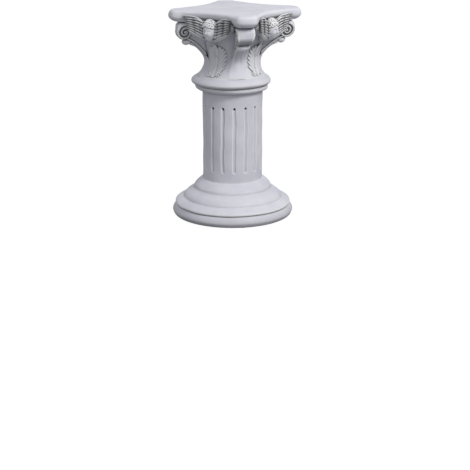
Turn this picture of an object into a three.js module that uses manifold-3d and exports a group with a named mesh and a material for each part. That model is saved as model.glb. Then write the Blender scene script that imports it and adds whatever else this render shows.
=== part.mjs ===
// Pedestal column stand: a sectional cast column with a carved capital, in millimetres, +Z up.
// The origin is the centre of the underside, on the surface that the felt pads stand on.
//
// From the bottom up, the castings are a plinth, a three-tier base, a fluted shaft, two neck
// rings, a bell and an abacus. A steel tie rod clamps plinth to bell through a bore on the axis,
// and the abacus is bonded over its upper nut on four dowels. On each corner of the bell sits a
// scroll over a curled leaf, and on each face a winged cherub head over a veined leaf.

import * as THREE from "three";
import { mergeVertices } from "three/addons/utils/BufferGeometryUtils.js";
import Module from "manifold-3d";

const wasm = await Module();
wasm.setup();

// ---------------------------------------------------------------- driving dimensions

// Heights of the stacked sections.
const padHeight = 1.2;
const plinthHeight = 15.4;
const skirtHeight = 10;
const stepHeight = 14.6;
const rollHeight = 15.3;
const shaftHeight = 128.9;
const filletHeight = 7.8;
const torusHeight = 13.3;
const bellHeight = 76.5;
const abacusHeight = 17;

// Radii of the turned sections, each at its widest. The plinth draws in to its top edge.
const plinthRadius = 88.8;
const plinthTopRadius = 85.5;
const skirtRadius = 86;
const stepRadius = 71.8;
const rollRadius = 58.4;
const shaftRadius = 43;
const filletRadius = 51.8;
const torusRadius = 57;
const bellFootRadius = 45.6;
const bellWaistRadius = 36.5;
const bellRimRadius = 54.5;

// Profiles of the turned sections, from the bottom up, as [share of the way in from the section's
// own radius to that of the section above, share of its height].
const plinthProfile = [[0.6, 0], [0, 0.14], [0.18, 0.48], [0.42, 0.78], [1, 1]];
const skirtProfile = [[0.05, 0], [0.02, 0.18], [0.26, 0.5], [0.93, 0.86]];
const stepProfile = [[0.03, 0], [0.03, 0.17], [0.3, 0.42], [1.06, 0.9]];
const rollProfile = [[0.06, 0], [0, 0.15], [0.13, 0.36], [0.5, 0.65], [0.95, 1]];
const filletProfile = [[0.45, 0], [0.16, 0.31], [0, 0.69], [0.1, 1]];
const torusProfile = [[0.37, 0], [0.11, 0.1], [0, 0.3], [0.11, 0.57], [0.39, 0.84], [0.7, 1]];

// The bell's flank, as [share of the way from the waist to the rim, share of its height]. It
// starts above the foot, which has a radius of its own.
const bellProfile = [
  [0.27, 0.06],
  [0.09, 0.13],
  [0, 0.24],
  [0.03, 0.36],
  [0.14, 0.48],
  [0.33, 0.62],
  [0.64, 0.79],
];

// The flutes are grooves with round ends, cut between two plain collars.
const fluteCount = 16;
const fluteWidth = 6.2;
const fluteDepth = 2.7;
const fluteTurn = -6.6;
const lowerCollar = 12.3;
const upperCollar = 20.9;
const collarFlare = 4.5;
const collarFlareHeight = 7.2;

// The abacus: distance from the axis to a corner's face, that face's width, and the hollow of a
// side. Its edge is an upright band over a cove, which is shallow at the corners and cut in much
// further in the middle of a side, where the carvings stand in front of it.
const cornerReach = 92.5;
const cornerWidth = 32;
const cornerBulge = 2.2;
const sideHollow = 15.5;
const abacusEdge = 3;
const bandFoot = 8.2;
const cornerCove = 2.4;
const sideCove = 5.6;

// The corner scrolls: how far out the eye is, the coil, and how wide a scroll is at foot and head.
const eyeReach = 73.3;
const coilRadius = 15.5;
const coilTurns = 2.25;
const coilShrink = 0.88;
const coilEnd = 1.08 * Math.PI;
const ridgeWidth = 3.6;
const ridgeTaper = 0.6;
const ridgeProud = 2;
const buttonRadius = 2.8;
const scrollFootWidth = 18;
const scrollHeadWidth = 27;

// Where a scroll's stem leaves the bell, below the eye, and the line on which it rests on the leaf
// under it, as [share of the way from the bell's waist out to the eye, share of that drop].
const stemDrop = 37;
const stemProfile = [[-0.03, 1], [0.19, 0.77], [0.46, 0.535], [0.74, 0.395]];

// The corner leaves: the lip's reach from the axis, widths, and the outer line and the lip, as
// [share of the way from the bell's waist out to the lip, share of the way from its foot up to
// the eye].
const leafThickness = 2.4;
const cornerLeafReach = 71;
const cornerLeafTipWidth = 17;
const cornerLeafFootWidth = 38;
const cornerLeafProfile = [
  [0.22, 0.07],
  [0.1, 0.2],
  [0.08, 0.33],
  [0.15, 0.46],
  [0.31, 0.56],
  [0.61, 0.63],
  [0.88, 0.66],
];
const cornerLeafLip = [[0.98, 0.68], [1, 0.72], [0.96, 0.75]];
const cornerLeafCrown = 1.5;
const cornerLeafRib = 0.35;

// The face leaves: width, rise and lip, their veins, which lean outwards, and the midrib.
const faceLeafWidth = 33;
const faceLeafRise = 48;
const faceLeafCurl = 5.5;
const faceLeafLip = 3;
const faceLeafCrown = 0.9;
const veinCount = 5;
const veinLean = 1.3;
const veinHeight = 0.7;
const midribHeight = 0.9;
const midribWidth = 0.16;

// The winged head on each face: the head's middle lies this far from the axis and below the top.
// The neck has a depth and a width, and reaches this far up into the head.
const headReach = 57.5;
const headDrop = 25.5;
const headWidth = 22;
const headHeight = 30;
const headDepth = 27;
const neckSize = [12, 8];
const neckSink = 9.3;
const lockRadius = 4.2;
const lockCount = 7;

// The wings: their span from the middle, how far they rise above and hang below the head's middle,
// how far they are sunk behind the band of the abacus, and how thick a row of feathers is.
const wingSpan = 42;
const wingRise = 16.5;
const wingDrop = 11;
const wingRoot = 3;
const wingSink = 4.4;
const wingBack = 22;
const featherStep = 1.9;
const featherTip = 2;

// The rows of feathers, from the back: how many there are, and shares of the span and of the drop.
const featherRows = [
  { count: 5, span: 1, drop: 1 },
  { count: 4, span: 0.8, drop: 0.68 },
  { count: 3, span: 0.58, drop: 0.36 },
];

// Tie rod, nuts, washers, dowels and pads.
const rodRadius = 4;
const rodInset = 1.5;
const rodBore = 5;
const nutAcross = 13;
const nutHeight = 6.5;
const washerRadius = 12;
const washerHeight = 2;
const springWasherRadius = 7.4;
const springWasherHeight = 2;
const recessRadius = 14;
const lowerRecessDepth = 13;
const upperRecessDepth = 13;
const spigotRadius = 20;
const baseSpigotHeight = 6;
const neckSpigotDepth = 8;
const registerRadius = 30;
const registerHeight = 3;
const dowelRadius = 3;
const dowelLength = 20;
const dowelCircle = 34;
const padRadius = 9;
const padCircle = 72;

// Room left where one piece fits in, on or against another.
const seatGap = 0.3;
const threadGap = 0.1;

// How far a cutting shape runs past the face that it opens.
const cutOver = 1;

// Facets round a full turn. The bell's are a multiple of eight, so that what is trimmed to fit it
// on a face also fits it on a corner.
const turnedFacets = 28;
const bellFacets = 32;
const boreFacets = 12;
const hardwareFacets = 12;

// ---------------------------------------------------------------- levels worked out from the stack

const plinthFoot = padHeight;
const skirtFoot = plinthFoot + plinthHeight;
const stepFoot = skirtFoot + skirtHeight;
const rollFoot = stepFoot + stepHeight;
const shaftFoot = rollFoot + rollHeight;
const filletFoot = shaftFoot + shaftHeight;
const torusFoot = filletFoot + filletHeight;
const bellFoot = torusFoot + torusHeight;
const abacusFoot = bellFoot + bellHeight;
const eyeLevel = abacusFoot - seatGap - coilRadius;
const abacusTop = abacusFoot + abacusHeight;
const headLevel = abacusTop - headDrop;
const faceLeafTip = bellFoot + faceLeafRise;

// ---------------------------------------------------------------- colours

const castWhite = new THREE.MeshStandardMaterial({ color: 0xd9d9e0, roughness: 0.72, metalness: 0 });
const zincSteel = new THREE.MeshStandardMaterial({ color: 0x9a9da3, roughness: 0.38, metalness: 1 });
const beech = new THREE.MeshStandardMaterial({ color: 0xb98f60, roughness: 0.7, metalness: 0 });
const felt = new THREE.MeshStandardMaterial({ color: 0xc9c6bf, roughness: 1, metalness: 0 });

// ---------------------------------------------------------------- solids and booleans

const { lerp, clamp, degToRad: radians } = THREE.MathUtils;

/** The solid inside a closed skin of triangles, facing outwards whichever way they were listed. */
function solid(geometry) {
  const bare = geometry.index ? geometry.toNonIndexed() : geometry.clone();
  bare.deleteAttribute("normal");
  bare.deleteAttribute("uv");
  const merged = mergeVertices(bare, 1e-4);
  const kept = [];
  const index = merged.index.array;
  for (let i = 0; i < index.length; i += 3) {
    const [a, b, c] = [index[i], index[i + 1], index[i + 2]];
    if (a !== b && b !== c && c !== a) {
      kept.push(a, b, c);
    }
  }
  const filled = (triangles) => {
    const vertProperties = merged.attributes.position.array;
    const triVerts = new Uint32Array(triangles);
    return new wasm.Manifold(new wasm.Mesh({ numProp: 3, vertProperties, triVerts }));
  };
  const made = filled(kept);
  return made.volume() > 0 ? made : filled(kept.toReversed());
}

/** The surface of a solid, with flat facets. */
function geometryOf(made) {
  const mesh = made.getMesh();
  const points = new Float32Array(mesh.numVert * 3);
  for (let i = 0; i < mesh.numVert; i++) {
    points.set(mesh.vertProperties.subarray(i * mesh.numProp, i * mesh.numProp + 3), i * 3);
  }
  const geometry = new THREE.BufferGeometry();
  geometry.setAttribute("position", new THREE.BufferAttribute(points, 3));
  geometry.setIndex(new THREE.BufferAttribute(new Uint32Array(mesh.triVerts), 1));
  const faceted = geometry.toNonIndexed();
  faceted.computeVertexNormals();
  return faceted;
}

/** Revolves an outline of [radius, height] points about +Z, closing both ends on the axis. */
function turned(outline, facets = turnedFacets) {
  const ends = [[0, outline[0][1]], ...outline, [0, outline.at(-1)[1]]];
  const points = ends.map(([r, z]) => new THREE.Vector2(r, z));
  return solid(new THREE.LatheGeometry(points, facets).rotateX(Math.PI / 2));
}

/** An upright cylinder from one level to another. */
function post(radius, low, high, facets = hardwareFacets) {
  const geometry = new THREE.CylinderGeometry(radius, radius, high - low, facets);
  return geometry.rotateX(Math.PI / 2).translate(0, 0, (low + high) / 2);
}

/** Bores a solid along the axis, where each hole is [radius, low, high, facets]. */
function bored(made, ...holes) {
  const cut = (rest, [radius, low, high, facets = boreFacets]) =>
    rest.subtract(solid(post(radius, low, high, facets)));
  return holes.reduce(cut, made);
}

/** A hole that takes a turned spigot with a clearance round it, so it has the same facets. */
function socket(radius, low, high) {
  return [radius + seatGap, low, high, turnedFacets];
}

/** Joins rings of equally many [x, y, z] points into a closed skin. The ends are filled by flat. */
function loft(rings, flat) {
  const count = flat.length;
  const faces = [];
  for (let i = 0; i + 1 < rings.length; i++) {
    for (let j = 0; j < count; j++) {
      const [a, b] = [i * count + j, i * count + ((j + 1) % count)];
      faces.push(a, b, b + count, a, b + count, a + count);
    }
  }
  const outline = flat.map(([u, v]) => new THREE.Vector2(u, v));
  const onward = THREE.ShapeUtils.area(outline) > 0;
  const last = (rings.length - 1) * count;
  for (const [i, j, k] of THREE.ShapeUtils.triangulateShape(outline, [])) {
    const same = THREE.ShapeUtils.area([outline[i], outline[j], outline[k]]) > 0 === onward;
    const [p, q, r] = same ? [i, j, k] : [i, k, j];
    faces.push(p, r, q, last + p, last + q, last + r);
  }
  const geometry = new THREE.BufferGeometry();
  geometry.setAttribute("position", new THREE.Float32BufferAttribute(rings.flat(2), 3));
  return geometry.setIndex(faces);
}

/** Points along a smooth curve through the given [x, y] points. */
function smooth(points, steps) {
  const curve = new THREE.SplineCurve(points.map(([x, y]) => new THREE.Vector2(x, y)));
  return curve.getPoints(steps).map((p) => [p.x, p.y]);
}

/** A section's flank, from its own radius in to the next one's, by a profile of shares. */
function flank(radius, nextRadius, foot, height, profile) {
  return profile.map(([inward, up]) => [lerp(radius, nextRadius, inward), foot + up * height]);
}

/** Adds a named mesh to a group. */
function place(group, name, made, material) {
  const mesh = new THREE.Mesh(made.isBufferGeometry ? made : geometryOf(made), material);
  mesh.name = name;
  group.add(mesh);
  return mesh;
}

// ---------------------------------------------------------------- base

/** The round plinth: a bulged edge, a register on top and a recess for the lower nut below. */
function plinth() {
  const edge = flank(plinthRadius, plinthTopRadius, plinthFoot, plinthHeight, plinthProfile);
  const register = [
    [registerRadius, skirtFoot],
    [registerRadius, skirtFoot + registerHeight],
  ];
  return bored(
    turned([...edge, ...register]),
    [recessRadius, plinthFoot - cutOver, plinthFoot + lowerRecessDepth],
    [rodBore, plinthFoot, skirtFoot + registerHeight + cutOver],
  );
}

/** The base casting: a sloping skirt, a rounded step and a roll, with a spigot for the shaft. */
function baseMoulding() {
  const tiers = [
    ...flank(skirtRadius, stepRadius, skirtFoot, skirtHeight, skirtProfile),
    ...flank(stepRadius, rollRadius, stepFoot, stepHeight, stepProfile),
    ...flank(rollRadius, shaftRadius, rollFoot, rollHeight, rollProfile),
  ];
  const spigot = [
    [spigotRadius, shaftFoot],
    [spigotRadius, shaftFoot + baseSpigotHeight],
  ];
  return bored(
    turned([...tiers, ...spigot]),
    socket(registerRadius, skirtFoot - cutOver, skirtFoot + registerHeight + seatGap),
    [rodBore, skirtFoot, shaftFoot + baseSpigotHeight + cutOver],
  );
}

// ---------------------------------------------------------------- shaft

/** The shaft: a bored drum with a socket at each end and grooves with round ends round it. */
function shaft() {
  const top = filletFoot;
  const outline = [
    [shaftRadius, shaftFoot],
    [shaftRadius, top - collarFlareHeight],
    [lerp(shaftRadius, shaftRadius + collarFlare, 0.3), top - collarFlareHeight * 0.6],
    [shaftRadius + collarFlare, top],
  ];
  const drum = bored(
    turned(outline, fluteCount * 3),
    socket(spigotRadius, shaftFoot - cutOver, shaftFoot + baseSpigotHeight + seatGap),
    [rodBore, shaftFoot, top],
    socket(spigotRadius, top - neckSpigotDepth - seatGap, top + cutOver),
  );
  // The cutter's radius makes a groove of the stated width and depth.
  const cutter = ((fluteWidth / 2) ** 2 + fluteDepth ** 2) / (2 * fluteDepth);
  const low = shaftFoot + lowerCollar + fluteWidth / 2;
  const high = filletFoot - upperCollar - fluteWidth / 2;
  let fluted = drum;
  for (let i = 0; i < fluteCount; i++) {
    const angle = (i * 2 * Math.PI) / fluteCount;
    const reach = shaftRadius - fluteDepth + cutter;
    const groove = new THREE.CapsuleGeometry(cutter, high - low, 2, 8).rotateX(Math.PI / 2);
    groove.translate(reach, 0, (low + high) / 2).rotateZ(angle);
    fluted = fluted.subtract(solid(groove));
  }
  return fluted;
}

// ---------------------------------------------------------------- neck rings

/** The narrow rounded ring on top of the shaft. */
function neckFillet() {
  const outline = flank(filletRadius, bellFootRadius, filletFoot, filletHeight, filletProfile);
  return bored(turned(outline), socket(spigotRadius, filletFoot - cutOver, torusFoot + cutOver));
}

/** The large rounded ring under the bell, fullest a little below its middle. */
function neckTorus() {
  const outline = flank(torusRadius, bellFootRadius, torusFoot, torusHeight, torusProfile);
  return bored(turned(outline), socket(spigotRadius, torusFoot - cutOver, bellFoot + cutOver));
}

// ---------------------------------------------------------------- bell and abacus

/** The bell's outer line, grown outwards by a clearance. */
function bellLine(clearance = 0) {
  const line = [
    [bellFootRadius, bellFoot],
    ...flank(bellWaistRadius, bellRimRadius, bellFoot, bellHeight, bellProfile),
    [bellRimRadius, abacusFoot],
  ];
  return line.map(([radius, level]) => [radius + clearance, level]);
}

/** The bell: a flared drum with a long spigot through both neck rings and a recess for the nut. */
function bell() {
  const spigotFoot = filletFoot - neckSpigotDepth;
  const spigot = [
    [spigotRadius, spigotFoot],
    [spigotRadius, bellFoot],
  ];
  return bored(
    turned([...spigot, ...bellLine()], bellFacets),
    [rodBore, spigotFoot - cutOver, abacusFoot],
    [recessRadius, abacusFoot - upperRecessDepth, abacusFoot + cutOver],
  ).subtract(dowelHoles());
}

/** A solid that fills the bell and a clearance round it, to trim what is carved against it. */
function bellRoom() {
  const [[footRadius], ...line] = bellLine(seatGap);
  return turned([[footRadius, bellFoot - seatGap], ...line], bellFacets);
}

/**
 * One ring of the abacus plan, drawn in by an inset all round and further in the middle of each
 * side: hollow sides between rounded corners.
 */
function abacusRing(inset, sideInset, level, sideSteps = 6, cornerSteps = 4) {
  const reach = cornerReach - inset;
  const halfCorner = cornerWidth / 2 - inset * 0.3;
  const [far, half] = [(reach + halfCorner) / Math.SQRT2, (reach - halfCorner) / Math.SQRT2];
  const ring = [];
  const add = (x, y, quarter) => {
    const [c, s] = [Math.cos(quarter * (Math.PI / 2)), Math.sin(quarter * (Math.PI / 2))];
    ring.push([x * c - y * s, x * s + y * c, level]);
  };
  for (let side = 0; side < 4; side++) {
    for (let i = 0; i <= sideSteps; i++) {
      const along = lerp(-1, 1, i / sideSteps);
      add(far - (sideHollow + sideInset) * (1 - along * along), along * half, side);
    }
    for (let i = 1; i < cornerSteps; i++) {
      const along = lerp(-1, 1, i / cornerSteps);
      add(reach + cornerBulge * (1 - along * along), along * halfCorner, side + 0.5);
    }
  }
  return ring;
}

/** The cove and the foot of the band as rings of the abacus, grown outwards by a clearance. */
function coveRings(clearance) {
  return [
    [cornerCove, sideCove, 0],
    [cornerCove * 0.6, sideCove * 0.85, 0.55],
    [0, 0, 1],
  ].map(([inset, sideInset, up]) =>
    abacusRing(inset - clearance, sideInset, abacusFoot + up * bandFoot - clearance),
  );
}

/** The abacus, whose edge is a cove below, an upright band and a rounded arris. */
function abacus() {
  const rings = [
    ...coveRings(0),
    abacusRing(0, 0, abacusTop - abacusEdge * 1.2),
    abacusRing(abacusEdge * 0.3, 0, abacusTop - abacusEdge * 0.4),
    abacusRing(abacusEdge, 0, abacusTop),
  ];
  return solid(loft(rings, rings[0])).subtract(dowelHoles());
}

/** A solid that fills the abacus and a clearance round it. */
function abacusRoom() {
  const rings = [...coveRings(seatGap), abacusRing(-seatGap, 0, abacusTop)];
  return solid(loft(rings, rings[0]));
}

/** The four blind holes, half in the bell and half in the abacus, that the dowels fit. */
function dowelHoles() {
  const half = dowelLength / 2 + seatGap;
  let holes = null;
  for (let i = 0; i < 4; i++) {
    const hole = post(dowelRadius + threadGap, abacusFoot - half, abacusFoot + half);
    const made = solid(hole.translate(dowelCircle, 0, 0).rotateZ((i * Math.PI) / 2));
    holes = holes ? holes.add(made) : made;
  }
  return holes;
}

// ---------------------------------------------------------------- corner scrolls

/** The coil's outer radius at an angle measured from straight up towards the outside. */
function coil(angle) {
  return coilRadius * (1 - (coilShrink * angle) / (2 * Math.PI * coilTurns));
}

/** A point in the scroll's upright plane, at an angle and distance from the eye. */
function fromEye(angle, distance) {
  return [eyeReach + distance * Math.sin(angle), eyeLevel + distance * Math.cos(angle)];
}

/** The line on which a scroll's stem rests on the leaf below it, from the bell outwards. */
function stemLine(steps = 5) {
  const points = stemProfile.map(([out, down]) => [
    lerp(bellWaistRadius, eyeReach, out),
    eyeLevel - down * stemDrop,
  ]);
  return smooth([...points, fromEye(coilEnd, coil(coilEnd))], steps);
}

/** Extrudes an outline in the scroll's plane, then tapers its width from foot to head. */
function scrollSlab(outline, sink) {
  const shape = new THREE.Shape(outline.map(([x, z]) => new THREE.Vector2(x, z)));
  const slab = new THREE.ExtrudeGeometry(shape, { depth: 2, steps: 1, bevelEnabled: false });
  slab.translate(0, 0, -1).rotateX(Math.PI / 2);
  const spot = slab.attributes.position;
  for (let i = 0; i < spot.count; i++) {
    const rise = (spot.getZ(i) - (eyeLevel - coilRadius)) / (2 * coilRadius);
    const width = lerp(scrollFootWidth, scrollHeadWidth, clamp(rise, 0, 1));
    spot.setY(i, spot.getY(i) * (width / 2 - sink));
  }
  return slab;
}

/** The scroll's whole outline: under the abacus, round the coil and back along the stem. */
function scrollOutline(clearance = 0) {
  const round = [];
  const steps = 8;
  for (let i = 0; i <= steps; i++) {
    const angle = (coilEnd * i) / steps;
    round.push(fromEye(angle, coil(angle) + clearance));
  }
  const stem = stemLine().reverse().slice(1);
  const under = stem.map(([x, z]) => [x + clearance * 0.6, z - clearance * 0.8]);
  return [[under.at(-1)[0], eyeLevel + coil(0) + clearance], ...round, ...under];
}

/** The raised ridge that winds in to the eye on both cheeks of a scroll. */
function ridgeOutline() {
  const [outer, inner] = [[], []];
  const steps = 18;
  for (let i = 0; i <= steps; i++) {
    const share = i / steps;
    const angle = 2 * Math.PI * coilTurns * share;
    const width = ridgeWidth * lerp(1, ridgeTaper, share);
    outer.push(fromEye(angle, coil(angle)));
    inner.push(fromEye(angle, coil(angle) - width));
  }
  const tail = lerp(bellWaistRadius, bellRimRadius, 0.8);
  const head = eyeLevel + coil(0);
  return [[tail, head], ...outer, ...inner.reverse(), [tail, head - ridgeWidth]];
}

/** A corner scroll: a sunk cheek on each side of a stem, with the ridge and the eye proud of it. */
function scroll() {
  const body = solid(scrollSlab(scrollOutline(), ridgeProud));
  const ridge = solid(scrollSlab(ridgeOutline(), 0));
  const across = (scrollFootWidth + scrollHeadWidth) / 2;
  const button = new THREE.CylinderGeometry(buttonRadius, buttonRadius, across, 8);
  const eye = solid(button.translate(eyeReach, 0, eyeLevel));
  return body.add(ridge).add(eye).subtract(bellRoom());
}

/** A scroll with a clearance round it. */
function scrollRoom() {
  return solid(scrollSlab(scrollOutline(seatGap), -seatGap));
}

// ---------------------------------------------------------------- leaves

/**
 * A leaf carved round the bell. Its section is a closed loop of [radius, level, half width,
 * relief] points, swept across its width; the relief says how far a point takes part in the
 * ribs and in the thinning towards the edges.
 */
function leaf(section, across, relief) {
  const rings = [];
  for (let i = 0; i <= across; i++) {
    const share = lerp(-1, 1, i / across);
    rings.push(
      section.map(([radius, level, half, weight]) => {
        const angle = (share * half) / radius;
        const reach = radius + weight * relief(share, level);
        return [reach * Math.cos(angle), reach * Math.sin(angle), level];
      }),
    );
  }
  return loft(rings, section);
}

/** The leaf under a scroll: smooth and ribbed, bent outwards, with a rolled lip at its tip. */
function cornerLeaf() {
  const rise = eyeLevel - bellFoot;
  const bend = flank(bellWaistRadius, cornerLeafReach, bellFoot, rise, cornerLeafProfile);
  const outer = smooth([[bellFootRadius + leafThickness, bellFoot + seatGap], ...bend], 9);
  const lip = flank(bellWaistRadius, cornerLeafReach, bellFoot, rise, cornerLeafLip);
  const upper = stemLine(4).slice(0, -1).reverse();
  const inside = bellWaistRadius - leafThickness;
  const inner = [
    [inside, eyeLevel - stemDrop],
    [inside, bellFoot + seatGap],
  ];
  const halfWidth = (level) => {
    const share = clamp((level - bellFoot) / (outer.at(-1)[1] - bellFoot), 0, 1);
    return lerp(cornerLeafFootWidth, cornerLeafTipWidth, Math.sin((share * Math.PI) / 2)) / 2;
  };
  const section = [
    ...outer.map(([r, z]) => [r, z, halfWidth(z), 1]),
    ...lip.map(([r, z]) => [r, z, cornerLeafTipWidth / 2, 0.6]),
    ...upper.map(([r, z]) => [r, z + cutOver, cornerLeafTipWidth / 2, 0]),
    ...inner.map(([r, z]) => [r, z, halfWidth(z), 0]),
  ];
  const relief = (share) =>
    cornerLeafRib * Math.cos(share * Math.PI * 3) - cornerLeafCrown * share ** 4;
  return solid(leaf(section, 6, relief)).subtract(bellRoom()).subtract(scrollRoom());
}

/** The bell's radius at a level, on a smooth curve through its outer line. */
function bellRadiusAt(level) {
  const line = smooth(bellLine(), 40);
  const above = Math.max(1, line.findIndex(([, z]) => z >= level));
  const [[r0, z0], [r1, z1]] = [line[above - 1], line[above]];
  return lerp(r0, r1, (level - z0) / (z1 - z0));
}

/** The leaf on a face: a pointed oval with a midrib, whose veins run up and outwards. */
function faceLeaf() {
  const rows = 2 * veinCount;
  const outer = [];
  for (let i = 0; i <= rows; i++) {
    const level = lerp(bellFoot + seatGap, faceLeafTip - faceLeafLip, i / rows);
    const curl = faceLeafCurl * Math.max(0, (i / rows - 0.7) / 0.3) ** 2;
    outer.push([bellRadiusAt(level) + leafThickness + curl, level]);
  }
  const [endRadius] = outer.at(-1);
  const lip = [
    [endRadius + faceLeafLip * 0.2, faceLeafTip - faceLeafLip * 0.4],
    [endRadius - faceLeafLip * 0.4, faceLeafTip],
    [endRadius - faceLeafLip * 1.3, faceLeafTip - faceLeafLip * 0.2],
  ];
  const inner = [
    [bellWaistRadius, lerp(bellFoot, faceLeafTip, 0.75)],
    [bellWaistRadius - leafThickness, bellFoot + seatGap],
  ];
  const halfWidth = (level) => {
    const rise = clamp((level - bellFoot) / faceLeafRise, 0, 1);
    return (faceLeafWidth / 2) * (0.86 + 0.5 * rise - 1.02 * rise ** 3);
  };
  const section = [
    ...outer.map(([r, z]) => [r, z, halfWidth(z), 1]),
    ...lip.map(([r, z]) => [r, z, halfWidth(faceLeafTip - faceLeafLip * 0.7), 0.3]),
    ...inner.map(([r, z]) => [r, z, halfWidth(z), 0]),
  ];
  const relief = (share, level) => {
    const rise = (level - bellFoot) / faceLeafRise;
    const vein = Math.cos(2 * Math.PI * (veinCount * rise - veinLean * Math.abs(share)));
    const midrib = midribHeight * Math.exp(-((share / midribWidth) ** 2));
    return veinHeight * vein + midrib - faceLeafCrown * share ** 4;
  };
  return solid(leaf(section, 6, relief)).subtract(bellRoom());
}

// ---------------------------------------------------------------- winged heads

/** How far out a face's carving stands at a distance across the face, following the hollow side. */
function carvingReach(across) {
  const half = (cornerReach - cornerWidth / 2) / Math.SQRT2;
  const far = (cornerReach + cornerWidth / 2) / Math.SQRT2;
  return far - sideHollow * (1 - (across / half) ** 2);
}

/**
 * One row of feathers: an outline with a round tip for each feather, along a line that rises from
 * the row's foot at the head to its tip, bent to the hollow side of the abacus.
 */
function featherRow({ count, span, drop }, row) {
  const outward = wingSpan * span;
  const low = headLevel - wingDrop * drop;
  const high = headLevel + wingRise - row * featherStep * 0.7;
  const points = [
    [wingRoot, high - 2 * featherTip],
    [wingRoot, low + featherTip],
  ];
  for (let i = 0; i < count; i++) {
    for (const [share, push] of [[0.1, 0], [0.7, featherTip]]) {
      const along = (i + share) / count;
      const across = lerp(wingRoot, outward, along ** 0.8);
      const level = lerp(low, high - 2 * featherTip, along ** 1.25);
      points.push([across + push, level - push]);
    }
  }
  points.push(
    [outward + featherTip, high - featherTip],
    [outward - featherTip, high],
    [lerp(wingRoot, outward, 0.4), high],
  );
  const shape = new THREE.Shape(points.map(([x, z]) => new THREE.Vector2(x, z)));
  const slab = new THREE.ExtrudeGeometry(shape, { depth: 1, steps: 1, bevelEnabled: false });
  const front = row * featherStep - wingSink;
  const back = row ? front - featherStep * 1.5 : -wingBack;
  const spot = slab.attributes.position;
  for (let i = 0; i < spot.count; i++) {
    const [across, level, depth] = [spot.getX(i), spot.getY(i), spot.getZ(i)];
    spot.setXYZ(i, carvingReach(across) + lerp(back, front, depth), across, level);
  }
  return solid(slab);
}

/** Both wings, whose rows of feathers step up towards the head. */
function wings() {
  const one = featherRows.map(featherRow).reduce((sum, row) => sum.add(row));
  return one.add(one.mirror([0, 1, 0]));
}

/** The head: an egg with brow, nose, cheeks and chin raised on it by smooth bumps. */
function head() {
  const egg = new THREE.SphereGeometry(1, 12, 9).rotateX(Math.PI / 2).rotateZ(Math.PI);
  const bumps = [
    // [across, up, spread across, spread up, height]
    [0, 0.32, 0.42, 0.16, 0.05],
    [0, -0.06, 0.11, 0.2, 0.17],
    [0.4, -0.2, 0.24, 0.24, 0.07],
    [-0.4, -0.2, 0.24, 0.24, 0.07],
    [0.3, 0.12, 0.15, 0.09, -0.07],
    [-0.3, 0.12, 0.15, 0.09, -0.07],
    [0, -0.43, 0.2, 0.07, 0.05],
    [0, -0.7, 0.2, 0.13, 0.08],
  ];
  const spot = egg.attributes.position;
  for (let i = 0; i < spot.count; i++) {
    const [x, y, z] = [spot.getX(i), spot.getY(i), spot.getZ(i)];
    let grow = 1;
    for (const [across, up, wide, tall, height] of x > 0 ? bumps : []) {
      grow += height * Math.exp(-(((y - across) / wide) ** 2) - ((z - up) / tall) ** 2);
    }
    const jaw = 1 - 0.16 * Math.max(0, -z) ** 2;
    spot.setXYZ(
      i,
      headReach + (x * grow * headDepth) / 2,
      (y * jaw * headWidth) / 2,
      headLevel + (z * headHeight) / 2,
    );
  }
  return solid(egg);
}

/** Locks of hair, as overlapping balls round the crown and down past the ears. */
function hair() {
  let locks = null;
  for (let i = 0; i < lockCount; i++) {
    const angle = lerp(-0.68 * Math.PI, 0.68 * Math.PI, i / (lockCount - 1));
    const lock = new THREE.SphereGeometry(lockRadius, 5, 4);
    lock.translate(
      headReach + lockRadius * (0.6 + 0.3 * Math.cos(angle)),
      Math.sin(angle) * (headWidth / 2),
      headLevel + Math.cos(angle) * (headHeight / 2 - lockRadius * 0.6),
    );
    locks = locks ? locks.add(solid(lock)) : solid(lock);
  }
  return locks;
}

/** The neck, which swells from the face leaf's tip up into the head, and back to the bell. */
function neck() {
  const [deep, wide] = neckSize;
  const low = faceLeafTip + seatGap;
  const tall = (headLevel - headHeight / 2 + neckSink - low) / 2;
  const swell = new THREE.SphereGeometry(1, 6, 4).rotateX(Math.PI / 2).scale(deep, wide, tall);
  return solid(swell.translate(headReach - deep / 2, 0, low + tall));
}

/** A winged cherub head, trimmed to sit against the bell, the abacus and both scrolls. */
function cherub() {
  const whole = wings().add(neck()).add(hair()).add(head());
  const room = scrollRoom();
  const scrolls = room.rotate([0, 0, 45]).add(room.rotate([0, 0, -45]));
  return whole.subtract(bellRoom()).subtract(abacusRoom()).subtract(scrolls);
}

// ---------------------------------------------------------------- hardware

/** A washer on the rod, from a level upwards. */
function washer(radius, low, height) {
  const disc = solid(post(radius, low, low + height));
  return disc.subtract(solid(post(rodRadius + seatGap, low - cutOver, low + height + cutOver)));
}

/** A hexagon nut on the rod, from a level upwards. */
function nut(low) {
  const shape = new THREE.Shape();
  for (let i = 0; i < 6; i++) {
    const angle = (i * Math.PI) / 3;
    const corner = nutAcross / Math.sqrt(3);
    shape[i ? "lineTo" : "moveTo"](corner * Math.cos(angle), corner * Math.sin(angle));
  }
  const hole = new THREE.Path().absarc(0, 0, rodRadius + threadGap, 0, 2 * Math.PI, true);
  shape.holes.push(hole);
  const options = { depth: nutHeight, bevelEnabled: false, curveSegments: hardwareFacets / 2 };
  return new THREE.ExtrudeGeometry(shape, options).translate(0, 0, low);
}

// ---------------------------------------------------------------- assembly

const column = new THREE.Group();

place(column, "plinth", plinth(), castWhite);
place(column, "base_moulding", baseMoulding(), castWhite);
place(column, "shaft", shaft(), castWhite).rotation.z = radians(fluteTurn);
place(column, "neck_fillet", neckFillet(), castWhite);
place(column, "neck_torus", neckTorus(), castWhite);
place(column, "bell", bell(), castWhite);
place(column, "abacus", abacus(), castWhite);

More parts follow.
